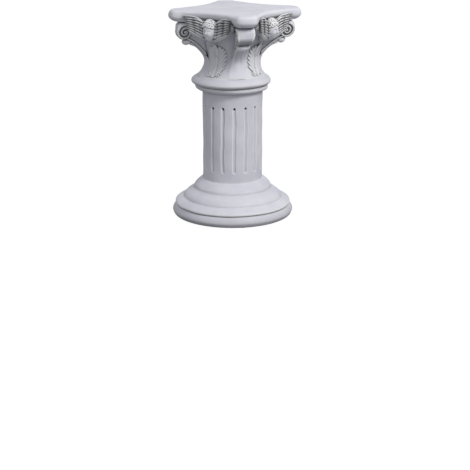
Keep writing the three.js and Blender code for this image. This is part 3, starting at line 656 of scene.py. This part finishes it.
def half_width(level):
    """Half the width of a scroll at a level."""
    rise = np.clip((level - eye_level + coil_radius) / (2 * coil_radius), 0, 1)
    return (scroll_foot_width + (scroll_head_width - scroll_foot_width) * rise) / 2


def tube(path, across, deep, lean, sides=10):
    """A closed bar along a path: round each point an ellipse that reaches `deep` towards `lean`
    and `across` square to that. Each of the two is one number, or one for each point."""
    path = np.asarray(path, float)
    way = np.gradient(path, axis=0)
    way /= np.linalg.norm(way, axis=1)[:, None]
    side = np.cross(way, lean)
    side /= np.linalg.norm(side, axis=1)[:, None]
    up = np.cross(side, way)
    turn = full_turn(sides)[None, :, None]
    across = np.broadcast_to(across, len(path))[:, None, None]
    deep = np.broadcast_to(deep, len(path))[:, None, None]
    rows = path[:, None] + side[:, None] * np.cos(turn) * across + up[:, None] * np.sin(turn) * deep
    return ring_skin(rows)


def blunt(count, share=0.12):
    """Widths for a bar with round ends: 1 along its middle, and a quarter circle at each end."""
    along = np.linspace(0, 1, count)
    end = np.clip(np.minimum(along, 1 - along) / share, 0.02, 1)
    return np.sqrt(1 - (1 - end) ** 2)


def squared_off(wave, power):
    """A sine or cosine with its curve drawn out towards a square one."""
    return np.sign(wave) * np.abs(wave) ** power


def scroll_roll():
    """The roll: a polar surface about the eye, from one sunk cheek over its rounded lip and the
    rim, which swells a little like a keg, to the other. The rim is fullest under the abacus's
    corner, by a bell curve of the angle, and a little flat below."""
    turn_home = 1.15 * pi
    flat_below, full_above, fullest, full_spread = 0.06, 0.17, 0.72, 0.42
    angle = full_turn(120)
    home = np.clip((angle - turn_home) / (2 * pi - turn_home), 0, 1)
    rim = coil(np.minimum(angle, turn_home)) * (1 - home) + coil(0) * home
    rim = rim * (1 - flat_below * np.clip(-np.cos(angle), 0, 1))
    rim = rim * (1 + full_above * np.exp(-(((angle - fullest) / full_spread) ** 2)))
    cheek = [(0.05, 0.86), (0.7, 0.87), (0.79, 0.97), (0.9, 0.96), (0.97, 0.82), (1.0, 0.5)]
    lines = [(share, -across) for share, across in cheek] + [(1.015, 0)] + cheek[::-1]
    profile = soft_line([(0, -0.86), *lines, (0, 0.86)], softness=0.07, spacing=0.035)
    share, across = profile[1:-1].T[:, :, None]
    up = eye_level + share * rim * np.cos(angle)
    return ring_skin(grid(eye_reach + share * rim * np.sin(angle), across * half_width(up), up))


def stem_line():
    """The under edge of the stem, from inside the bell out to the bottom of the coil."""
    turn = 1.1 * pi
    return soft_line(
        beside(bell_waist_radius, eye_level, (-1, -38), (7, -28.5), (17, -19))
        + beside(eye_reach, eye_level, (-9.5, -13))
        + [(eye_reach + coil(turn) * sin(turn), eye_level + coil(turn) * cos(turn))],
        softness=9 * mm,
    )


def scroll_stem():
    """The stem: closed loops between the edge under the abacus and the stem's under edge, each a
    rounded oblong whose cheeks are a little hollow."""
    count, squareness = 40, 0.34
    under = evenly(stem_line(), 0.5 * mm)
    under = under[np.linspace(0, len(under) - 1, count).astype(int)]
    crown = eye_level + coil(0)
    top = np.linspace((bell_waist_radius, crown), (eye_reach, crown), count)
    turn = full_turn(48)
    high, wide = squared_off(np.sin(turn), squareness), squared_off(np.cos(turn), squareness)
    middle, reach = (top + under) / 2, (top - under) / 2
    out, up = np.moveaxis(middle[:, None] + reach[:, None] * high[None, :, None], -1, 0)
    hollow_cheek = 1 - 0.16 * (1 - high**2)
    return ring_skin(grid(out, (half_width(up) - 1.1 * mm) * wide * hollow_cheek, up))


def scroll_band(cheek):
    """The band on one cheek: it starts under the abacus, winds in round the eye and thins out."""
    angle = np.linspace(0, 2 * pi * coil_turns * 0.97, 170)
    pitch = coil_radius * coil_shrink / coil_turns
    wide = np.linspace(0.37, 0.27, len(angle)) * pitch
    radius = coil(angle) - np.linspace(0.42, 0.3, len(angle)) * pitch
    coiled = np.stack([eye_reach + radius * np.sin(angle), eye_level + radius * np.cos(angle)], 1)
    inward = np.linspace(bell_rim_radius - 6 * mm, eye_reach, 16)[:-1]
    straight = np.stack([inward, np.full_like(inward, coiled[0, 1])], 1)
    out, up = np.concatenate([straight, coiled]).T
    wide = np.r_[np.full_like(inward, wide[0]), wide] * blunt(len(out), 0.03)
    path = grid(out, cheek * (half_width(up) - 1.5 * mm), up)
    return tube(path, wide, np.linspace(1.9, 2.3, len(out)) * mm, (0, cheek, 0), sides=12)


def scroll_fillet(cheek):
    """The bead along the under edge of the stem."""
    out, up = evenly(stem_line(), 1 * mm)[6:].T
    path = grid(out, cheek * (half_width(up) - 1.2 * mm), up + 1.2 * mm)
    return tube(path, 1.7 * mm * blunt(len(path), 0.08), 1.9 * mm, (0, cheek, 0))


def scroll_button(cheek):
    """The button at the eye: a flat egg, partly sunk in the cheek."""
    polar, turn = np.linspace(0.06, pi - 0.06, 14)[:, None], full_turn(24)
    radius = button_radius * np.sin(polar)
    across = cheek * (half_width(eye_level) - button_sink + button_height * np.cos(polar))
    return ring_skin(
        grid(eye_reach + radius * np.cos(turn), across, eye_level + radius * np.sin(turn))
    )


scroll_skin = joined(
    [scroll_roll(), scroll_stem()]
    + [make(cheek) for cheek in (-1, 1) for make in (scroll_band, scroll_fillet, scroll_button)]
)
# Painted shade share: high up to just above the eye, on the stem and the roll's underside, and low
# above.
painted_shade_levels = [eye_level + 5 * mm, eye_level + 11 * mm]
scroll_painted_shade = np.interp(scroll_skin[0][:, 2], painted_shade_levels, [1.6, 0.2])
cast_four("scroll", scroll_skin, corner_places, scroll_painted_shade)

# ---------------------------------------------------------------- corner leaves
# Under each scroll a smooth leaf rises from the bell's foot, bends out along the stem and ends
# in a thick tongue that hangs free. It is bonded to the bell and to the scroll's stem.
leaf_thickness = 2.4 * mm
corner_leaf_reach, corner_leaf_tip, corner_leaf_foot = 71 * mm, 17 * mm, 38 * mm
rib_height, leaf_edge_fall = 0.35 * mm, 1.1 * mm
tongue_reach, tongue_bend, tongue_thickness = 69 * mm, 2 * mm, 5.6 * mm
tongue_half_width, tongue_drop = 9.4 * mm, 14 * mm
tongue_rise, tongue_fall, tongue_tuck = 3.2 * mm, 5.2 * mm, 0.6 * mm


def corner_leaf_skin():
    """Closed loops across the leaf between an outer and an inner line, rounded at the sides. The
    loops bend round the axis, swell in the middle, carry faint ribs and shrink at the lip."""
    foot = bell_foot + seat_gap
    outer = soft_line(
        beside(bell_foot_radius + leaf_thickness, foot, (1, 0))
        + beside(bell_foot_radius, bell_foot, (-1, 4.5))
        + beside(bell_waist_radius, bell_foot, (4.8, 12), (3.7, 20))
        + beside(bell_waist_radius, eye_level, (6.2, -34), (11.4, -27.6))
        + beside(corner_leaf_reach, eye_level, (-16.5, -21.4), (-9, -19.4), (-5.6, -17)),
        softness=8 * mm,
    )
    within_bell = beside(bell_waist_radius, foot, (-2, 0))
    within_bell += beside(bell_waist_radius, eye_level, (-2, -37))
    along_stem = stem_line()[4:-5] - [0, 0.5 * mm]
    tip = beside(corner_leaf_reach, eye_level, (-7, -12))
    count = len(outer)
    inner = resampled(evenly(np.concatenate([within_bell, along_stem, tip]), 0.2 * mm), count)
    rise = np.clip((outer[:, 1] - bell_foot) / (eye_level - 20 * mm - bell_foot), 0, 1)
    wide = corner_leaf_foot + (corner_leaf_tip - corner_leaf_foot) * np.sin(rise * pi / 2)
    wide = wide / 2 * np.r_[np.ones(count - 9), np.sqrt(1 - np.linspace(0, 0.9, 9) ** 2)]
    turn = full_turn(64)
    share, through = squared_off(np.cos(turn), 0.62), squared_off(np.sin(turn), 0.7)
    middle, reach = (outer + inner) / 2, (outer - inner) / 2
    out, up = np.moveaxis(middle[:, None] + reach[:, None] * through[None, :, None], -1, 0)
    rib = rib_height * np.cos(share * pi * 3) - leaf_edge_fall * share**4
    fade = np.clip(np.linspace(0, 6, count), 0, 1) * np.clip(np.linspace(5, 0, count), 0, 1)
    radius = out + rib * np.maximum(through, 0) * fade[:, None]
    return ring_skin(round_axis(radius, share * wide[:, None] / outer[:, :1], up))


def corner_tongue():
    """The tongue at the leaf's end: rings from side to side, flat above and hanging below as half
    an ellipse does, which bend back towards the bell at the sides."""
    share = np.sin(np.linspace(-0.499 * pi, 0.499 * pi, 36))[:, None]
    turn = full_turn(28)
    side = np.sqrt(1 - share**2)
    up, out = np.sin(turn), np.cos(turn)
    rise = np.where(up > 0, tongue_rise * side**0.3, tongue_fall * side) * up
    reach = tongue_reach - tongue_bend * share**2 + tongue_thickness * side**0.5 * out
    reach = reach - tongue_tuck * np.minimum(up, 0) ** 2
    return ring_skin(grid(reach, tongue_half_width * share, eye_level - tongue_drop + rise))


def part_shaded(*groups):
    """Skins joined, and the share of painted shade on each of their points. Each group is [share of
    painted shade, skins].
    """
    washes = [np.full(len(points), painted_shade_share) for painted_shade_share, skins in groups for points, _ in skins]
    return joined([skin for _, skins in groups for skin in skins]), np.concatenate(washes)


# Painted shade share: some on the leaf, none on the tongue.
corner_leaf, leaf_painted_shade = part_shaded((0.45, [corner_leaf_skin()]), (0, [corner_tongue()]))
cast_four("corner_leaf", corner_leaf, corner_places, leaf_painted_shade)

# ---------------------------------------------------------------- face leaves
# On each face a leaf is carved low on the bell: leaflets rise outwards from a midrib, overlap
# upwards and lift at their tips, and a small curl sits on either side of the foot.
face_leaf_rise, face_leaf_width = 48 * mm, 33 * mm
leaflet_pairs = 7
face_places = {"front": -90, "right": 0, "rear": 90, "left": 180}


def on_bell(across, level, proud):
    """Points given by the distance across the face, the level and the height above the bell."""
    radius = bell_radius(level)
    return round_axis(radius + proud, across / (radius + 2 * mm), level)


def blade(place, start, end, wide, thick, proud, bow=0.0, groove=0.25, tilt=0.0, steps=14):
    """A leaflet or feather: a lens-shaped bar from start to end in the (across, level) plane of
    `place`, widest just before its middle, bowed sideways, with a groove along its back."""
    start, end = np.array(start, float), np.array(end, float)
    t = np.linspace(0, 1, steps)
    way = (end - start) / np.linalg.norm(end - start)
    side = np.array([-way[1], way[0]])
    line = start + (end - start) * t[:, None] + side * (bow * np.sin(pi * t))[:, None]
    full = np.sin(pi * np.clip(t, 0.02, 0.985) ** 0.85) ** 0.6
    turn = full_turn(16)
    across = np.cos(turn) * wide / 2 * full[:, None]
    dome = np.sin(turn) * thick * np.clip(full, 0.12, 1)[:, None]
    dome = dome - groove * thick * np.exp(-((np.cos(turn) / 0.2) ** 2)) * (np.sin(turn) > 0)
    spot = line[:, None] + side * across[..., None]
    lift = proud[0] + (proud[1] - proud[0]) * t[:, None] + tilt * np.cos(turn)
    return ring_skin(place(spot[..., 0], spot[..., 1], lift + dome))


def curl(place, middle, radius, thick, proud, hand):
    """A small snail curl: a tapering bar that winds in to its middle and rises towards it."""
    turns, steps = 1.4, 26
    t = np.linspace(0, 1, steps)
    angle = hand * 2 * pi * turns * t
    reach = radius * (1 - 0.86 * t)
    across, level = middle[0] + reach * np.cos(angle), middle[1] + reach * np.sin(angle)
    path = place(across, level, proud + 0.9 * thick * t)
    bar = thick * (1 - 0.45 * t) * blunt(steps)
    out = place(np.array([middle[0]]), np.array([middle[1]]), 1.0)[0] * [1, 1, 0]
    return tube(path, bar, bar, out / np.linalg.norm(out), sides=8)


def face_leaf_skin():
    """All blades of one leaf: pairs up the midrib, each pair longer to the middle of the leaf and
    shorter to its tip, then the tip blade, the midrib and the curls."""
    parts = []
    foot, tip = bell_foot + 3 * mm, bell_foot + face_leaf_rise
    for i in range(leaflet_pairs):
        share = i / (leaflet_pairs - 1)
        low = foot + (face_leaf_rise - 16 * mm) * share
        long = face_leaf_width / 2 * (0.86 + 0.42 * share - 0.72 * share**3)
        lift = 0.5 * mm + 3.4 * mm * max(0, share - 0.5) ** 1.3
        proud = (0.4 * mm + lift * 0.5, 0.5 * mm + lift)
        for hand in (-1, 1):
            start, end = (hand * 0.6 * mm, low), (hand * long, low + long * 0.95)
            bow, tilt = hand * 1.5 * mm, -hand * 0.5 * mm
            parts.append(blade(on_bell, start, end, 6.2 * mm, 1.3 * mm, proud, bow, tilt=tilt))
    start, end = (0, foot + face_leaf_rise * 0.5), (0, tip)
    parts.append(blade(on_bell, start, end, 9 * mm, 2.2 * mm, (1.5 * mm, 4.5 * mm)))
    level = np.linspace(foot - 1 * mm, tip - 7 * mm, 40)
    lift = 1.3 * mm + 3 * mm * np.clip((level - level[0]) / (level[-1] - level[0]) - 0.55, 0, 1)
    midrib_width = np.linspace(1.5, 0.8, 40) * mm * blunt(40, 0.05)
    parts.append(tube(on_bell(0 * level, level, lift), midrib_width, 1.4 * mm, (0, 1, 0)))
    for hand in (-1, 1):
        middle = (hand * 8 * mm, foot + 2.5 * mm)
        parts.append(curl(on_bell, middle, 3 * mm, 1.2 * mm, 0.9 * mm, hand))
    return joined(parts)


cast_four("face_leaf", face_leaf_skin(), face_places, painted_shade_share=0.5)

# ---------------------------------------------------------------- winged heads
# Over each leaf a cherub's head stands out from the hollow side of the abacus, between wings of
# three rows of feathers that reach its corners. The face is a calm child's, of plain design.
head_reach, head_drop = 57.5 * mm, 25.5 * mm
head_width, head_height, head_depth = 22 * mm, 30 * mm, 27 * mm
head_level = abacus_top - head_drop
wing_span = 42 * mm


def on_side(across, level, proud):
    """Points given by the distance across the face, the level and the height above the hollow
    side of the abacus, carried down."""
    return grid(side_reach(across) + proud, across, level)


def head_skin():
    """The head as a polar surface: an egg that narrows to the chin, with its features as smooth
    hills and hollows. Each is [across, up, spread across, spread up, height], in shares of the
    head's half size."""
    polar, turn = np.linspace(0.03, pi - 0.03, 90)[:, None], full_turn(120)
    x, y, z = np.cos(turn) * np.sin(polar), np.sin(turn) * np.sin(polar), np.cos(polar)
    features = [
        (0.0, 0.46, 0.46, 0.26, 0.045),
        (0.0, 0.0, 0.06, 0.15, 0.05),
        (0.0, -0.17, 0.1, 0.085, 0.13),
    ]
    for hand in (-1, 1):
        features += [
            (hand * 0.3, 0.15, 0.2, 0.05, 0.035),
            (hand * 0.31, 0.03, 0.18, 0.1, -0.085),
            (hand * 0.31, 0.0, 0.13, 0.065, 0.07),
            (hand * 0.31, 0.075, 0.14, 0.018, -0.03),
            (hand * 0.31, -0.07, 0.12, 0.018, -0.02),
            (hand * 0.1, -0.21, 0.05, 0.045, 0.045),
            (hand * 0.44, -0.26, 0.22, 0.2, 0.07),
            (hand * 0.19, -0.44, 0.045, 0.04, -0.035),
        ]
    features += [
        (0.0, -0.31, 0.03, 0.05, -0.02),
        (0.0, -0.385, 0.15, 0.035, 0.05),
        (0.0, -0.435, 0.15, 0.015, -0.055),
        (0.0, -0.48, 0.12, 0.035, 0.055),
        (0.0, -0.56, 0.13, 0.035, -0.035),
        (0.0, -0.7, 0.18, 0.11, 0.09),
    ]
    grow = np.ones_like(y)
    for across, up, wide, tall, rise in features:
        grow += (x > 0) * rise * np.exp(-(((y - across) / wide) ** 2) - ((z - up) / tall) ** 2)
    jaw = 1 - 0.2 * np.maximum(0, -z) ** 2
    out, across = head_reach + x * grow * head_depth / 2, y * jaw * head_width / 2
    return ring_skin(grid(out, across, head_level + z * head_height / 2))


def on_skull(across, up, proud):
    """Points on the skull from two angles, across and up from the brow, and a height above it."""
    way = grid(np.cos(up) * np.cos(across), np.cos(up) * np.sin(across), np.sin(up))
    size = np.array([head_depth / 2, head_width / 2, head_height / 2])
    return np.array([head_reach, 0, head_level]) + way * (size + np.asarray(proud)[..., None])


def snail(across, up, radius, start, hand):
    """One curl of hair that winds in on the skull's tangent plane and rises to its middle."""
    turns, steps = 1.5, 30
    t = np.linspace(0, 1, steps)
    middle, out = on_skull(np.array([across, across]), np.array([up, up]), np.array([0, 1 * mm]))
    out = (out - middle) / np.linalg.norm(out - middle)
    side = np.cross(out, [0, 0, 1.0]) + [0, 1e-9, 0]
    side /= np.linalg.norm(side)
    angle = start + hand * 2 * pi * turns * t
    reach = (radius * (1 - 0.84 * t))[:, None]
    flat = side * np.cos(angle)[:, None] + np.cross(side, out) * np.sin(angle)[:, None]
    path = middle + flat * reach + out * (0.2 * mm + 1.5 * mm * t)[:, None]
    bar = 1.35 * mm * (1 - 0.4 * t) * blunt(steps, 0.1)
    return tube(path, bar, bar, out, sides=8)


def hair_skins():
    """Rows of snail curls round the hairline, over the ears and up to the crown. Each row is
    [angle up, count, angle to its last curl, radius]."""
    rows = [(0.62, 7, 1.1, 3.0), (0.98, 6, 1.25, 2.9), (1.32, 3, 1.0, 2.6)]
    rows += [(0.2, 2, 1.42, 3.0), (-0.22, 2, 1.5, 2.7)]
    parts = []
    for row, (up, count, spread_angle, size) in enumerate(rows):
        for i in range(count):
            across = spread_angle * (2 * i / (count - 1) - 1)
            level = up - 0.16 * abs(across) if up > 0.5 else up
            start, hand = 1.7 * i + row, 1 if i % 2 else -1
            parts.append(snail(across, level, size * mm, start, hand))
    return parts


def wing_skins(hand):
    """One wing, in rows of feathers that stream from the neck and the cheek to the tip: eight long
    ones, bowed up and lapped like tiles, then six over their roots, then five small scales.
    Each row is [count, root, step of the root, end, step of the end, width, height, bow]."""
    parts = []
    rows = [
        (8, (9.0, 10.0), (-0.6, -3.5), (42.0, 17.5), (-0.9, -2.6), 5.0, 0.4, 2.8),
        (6, (8.6, 8.0), (-0.5, -3.5), (28.0, 15.0), (-0.7, -3.3), 4.6, 2.0, 1.6),
        (5, (8.4, 5.5), (-0.4, -3.4), (16.0, 9.5), (-0.6, -3.5), 4.2, 3.4, 0.8),
    ]
    feather_thickness, groove, tilt = 1.6 * mm, 0.35, hand * 1.2 * mm
    for count, root, root_step, end, end_step, wide, proud, bow in rows:
        lift = ((proud - 1) * mm, proud * mm)
        for i in range(count):
            spots = np.array([root, end]) + i * np.array([root_step, end_step])
            start, finish = (spots * [hand, 1] + [0, head_level / mm]) * mm
            bowed = hand * (bow - 0.5 * i) * mm
            size = (wide * mm, feather_thickness)
            parts.append(blade(on_side, start, finish, *size, lift, bowed, groove, tilt, steps=20))
    return parts


def wing_back():
    """The block behind both wings, from the carving's face in to the bell: loops over the width,
    each a rounded oblong whose foot rises from the neck to the wing tips."""
    across = np.linspace(-0.93 * wing_span, 0.93 * wing_span, 60)
    share = np.abs(across) / wing_span
    foot = head_level - 14 * mm + 16 * mm * share**0.9
    top = head_level + 9 * mm + 8 * mm * np.clip(share * 2, 0, 1)
    shut = np.sqrt(np.clip(1 - share**8, 0, 1))
    turn = full_turn(40)
    high, deep = squared_off(np.sin(turn), 0.5), squared_off(np.cos(turn), 0.5)
    level = ((top + foot) / 2)[:, None] + ((top - foot) / 2 * shut)[:, None] * high
    front, rear = side_reach(across) - 2 * mm, np.full_like(across, bell_waist_radius + 4 * mm)
    out = ((front + rear) / 2)[:, None] + ((front - rear) / 2)[:, None] * deep
    return ring_skin(grid(out, across[:, None], level))


def neck_skin():
    """The neck: an egg between the head and the bell."""
    polar, turn = np.linspace(0.05, pi - 0.05, 30)[:, None], full_turn(48)
    out = head_reach - 8 * mm + 10 * mm * np.sin(polar) * np.cos(turn)
    across = 8.5 * mm * np.sin(polar) * np.sin(turn)
    return ring_skin(grid(out, across, head_level - 9.5 * mm + 8 * mm * np.cos(polar)))


def on_breast(across, level, proud):
    """Points on a small swelling under the chin, which curves back to the bell."""
    fall = np.clip((head_level - 8 * mm - level) / (14 * mm), 0, 1.2)
    out = head_reach + 1.5 * mm - 13 * mm * fall**1.5 - 0.03 / mm * across**2
    return grid(out + proud, across, level)


def breast_skins():
    """Two rows of small feathers fanned under the chin, each [count, length, height]."""
    parts = []
    for count, long, proud in [(7, 8.5, 0.6), (6, 6.0, 1.8)]:
        for i in range(count):
            aim = radians(-90 + 62 * (2 * i / (count - 1) - 1))
            start = np.array([4.5 * mm * cos(aim), head_level - 9.5 * mm + 2 * mm * sin(aim)])
            end = start + long * mm * np.array([cos(aim), sin(aim) * 0.75])
            lift = (proud * mm, proud * mm - 1.2 * mm)
            parts.append(blade(on_breast, start, end, 4.2 * mm, 1.3 * mm, lift))
    return parts


# Painted shade shares: least on the face, more in the hair, most on the neck, wings and breast
# feathers.
cherub, cherub_painted_shade = part_shaded(
    (0.3, [head_skin()]),
    (0.7, hair_skins()),
    (1.0, [neck_skin(), wing_back(), *wing_skins(-1), *wing_skins(1), *breast_skins()]),
)
cast_four("cherub", cherub, face_places, cherub_painted_shade)

# ---------------------------------------------------------------- hardware and pads
# A zinc-plated tie rod with washers and nuts runs up the middle, four beech dowels keep the
# abacus from turning, and four felt pads are glued under the plinth. All are bought parts.


def bought_finish(name, base, dark, scale, rough, metallic=0.0, depth=0.15):
    """A finish that goes from one colour to a darker one along a noise stretched by `scale`."""
    material = bpy.data.materials.new(name)
    node, _, blend = shader(material)
    stretched = node("Mapping", node("TexCoord").outputs["Object"], Scale=scale)
    grain = node("TexNoise", Vector=stretched, Scale=1, Detail=5, Roughness=0.6)
    bump = node("Bump", Height=grain, Strength=0.4, Distance=depth * mm)
    colour = blend(grain, base, dark)
    node("OutputMaterial", node("BsdfPrincipled", colour, metallic, rough, Normal=bump))
    return material


zinc_light, zinc_dark = (0.56, 0.57, 0.58, 1), (0.4, 0.42, 0.44, 1)
beech_light, beech_dark = (0.62, 0.42, 0.25, 1), (0.45, 0.28, 0.15, 1)
felt_light, felt_dark = (0.17, 0.17, 0.175, 1), (0.09, 0.09, 0.095, 1)
zinc_steel = bought_finish("zinc_steel", zinc_light, zinc_dark, (900, 900, 2500), 0.38, 1.0, 0.04)
beech = bought_finish("beech", beech_light, beech_dark, (1500, 1500, 90), 0.6)
felt = bought_finish("felt", felt_light, felt_dark, (1800, 1800, 1800), 0.95, depth=0.5)
rod_parts = ["tie_rod", "lower_washer", "spring_washer", "lower_nut", "upper_washer", "upper_nut"]
finishes = {
    zinc_steel: rod_parts,
    beech: [f"abacus_dowel_{i}" for i in range(1, 5)],
    felt: [f"felt_pad_{i}" for i in range(1, 5)],
}
for finish, names in finishes.items():
    for name in names:
        for material_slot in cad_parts[name].material_slots:
            material_slot.material = finish
